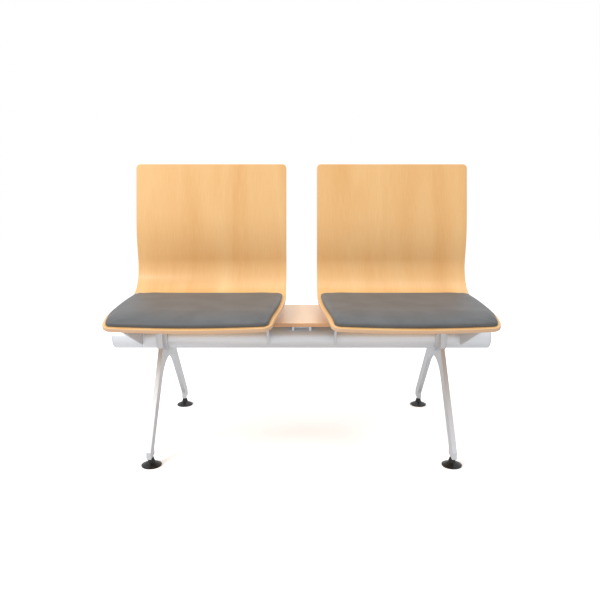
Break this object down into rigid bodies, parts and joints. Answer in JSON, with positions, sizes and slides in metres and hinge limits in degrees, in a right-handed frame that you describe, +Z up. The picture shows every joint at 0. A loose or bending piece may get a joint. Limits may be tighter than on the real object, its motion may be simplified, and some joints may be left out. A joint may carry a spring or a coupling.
{
  "type": "beam seating",
  "caption": "Beam seating: bent-plywood shells with leather pads and a small table, bolted to an oval aluminium beam on cast inverted-V legs with levelling glides.",
  "frame": {"origin": "on the floor, at the middle of the overall width and depth", "axes": "+X along the beam to the right as one faces the seats, +Y to the rear, +Z up; the sitter faces -Y"},
  "size_m": [1.155, 0.6424, 0.848],
  "materials": {
    "beam_aluminium": "satin silver lacquer on an extrusion",
    "cast_aluminium": "satin silver lacquer on a casting",
    "shell_veneer": "clear satin lacquer on light veneer",
    "table_veneer": "clear satin lacquer on light veneer",
    "board_ply": "plain thin plywood",
    "pad_leather": "smooth grey, semi-gloss",
    "glide_plastic": "black, moulded",
    "screw_steel": "zinc plated"
  },
  "bodies": {
    "frame": {"beam": "beam_aluminium", "beam_cap_left": "beam_aluminium", "beam_cap_right": "beam_aluminium", "leg_left": "cast_aluminium", "leg_right": "cast_aluminium", "leg_screws": "screw_steel", "seat_arm_left_left": "cast_aluminium", "seat_arm_left_right": "cast_aluminium", "seat_arm_right_left": "cast_aluminium", "seat_arm_right_right": "cast_aluminium", "arm_screws_left": "screw_steel", "seat_shell_left": "shell_veneer", "seat_screws_left": "screw_steel", "pad_board_left": "board_ply", "seat_pad_left": "pad_leather", "arm_screws_right": "screw_steel", "seat_shell_right": "shell_veneer", "seat_screws_right": "screw_steel", "pad_board_right": "board_ply", "seat_pad_right": "pad_leather", "table_top": "table_veneer", "table_bracket": "cast_aluminium", "bracket_screws": "screw_steel", "table_screws": "screw_steel"},
    "disc_front_left": {"glide_disc_front_left": "glide_plastic"},
    "stud_front_left": {"glide_stud_front_left": "screw_steel"},
    "disc_rear_left": {"glide_disc_rear_left": "glide_plastic"},
    "stud_rear_left": {"glide_stud_rear_left": "screw_steel"},
    "disc_front_right": {"glide_disc_front_right": "glide_plastic"},
    "stud_front_right": {"glide_stud_front_right": "screw_steel"},
    "disc_rear_right": {"glide_disc_rear_right": "glide_plastic"},
    "stud_rear_right": {"glide_stud_rear_right": "screw_steel"}
  },
  "joints": [
    {"name": "glide_height_front_left", "type": "slide", "parent": "frame", "child": "disc_front_left", "axis": [0, 0, -1], "range_m": [-0.0025, 0.01]},
    {"name": "stud_turn_front_left", "type": "hinge", "parent": "disc_front_left", "child": "stud_front_left", "pos_m": [-0.425, -0.21525, 0.02], "axis": [0, 0, -1], "range_deg": [-720, 2880]},
    {"name": "glide_height_rear_left", "type": "slide", "parent": "frame", "child": "disc_rear_left", "axis": [0, 0, -1], "range_m": [-0.0025, 0.01]},
    {"name": "stud_turn_rear_left", "type": "hinge", "parent": "disc_rear_left", "child": "stud_rear_left", "pos_m": [-0.425, 0.29275, 0.02], "axis": [0, 0, -1], "range_deg": [-720, 2880]},
    {"name": "glide_height_front_right", "type": "slide", "parent": "frame", "child": "disc_front_right", "axis": [0, 0, -1], "range_m": [-0.0025, 0.01]},
    {"name": "stud_turn_front_right", "type": "hinge", "parent": "disc_front_right", "child": "stud_front_right", "pos_m": [0.425, -0.21525, 0.02], "axis": [0, 0, -1], "range_deg": [-720, 2880]},
    {"name": "glide_height_rear_right", "type": "slide", "parent": "frame", "child": "disc_rear_right", "axis": [0, 0, -1], "range_m": [-0.0025, 0.01]},
    {"name": "stud_turn_rear_right", "type": "hinge", "parent": "disc_rear_right", "child": "stud_rear_right", "pos_m": [0.425, 0.29275, 0.02], "axis": [0, 0, -1], "range_deg": [-720, 2880]}
  ],
  "couplings": [
    {"joint": "stud_turn_front_left", "follows": "glide_height_front_left", "rad_per_m": 5026.5},
    {"joint": "stud_turn_rear_left", "follows": "glide_height_rear_left", "rad_per_m": 5026.5},
    {"joint": "stud_turn_front_right", "follows": "glide_height_front_right", "rad_per_m": 5026.5},
    {"joint": "stud_turn_rear_right", "follows": "glide_height_rear_right", "rad_per_m": 5026.5}
  ]
}
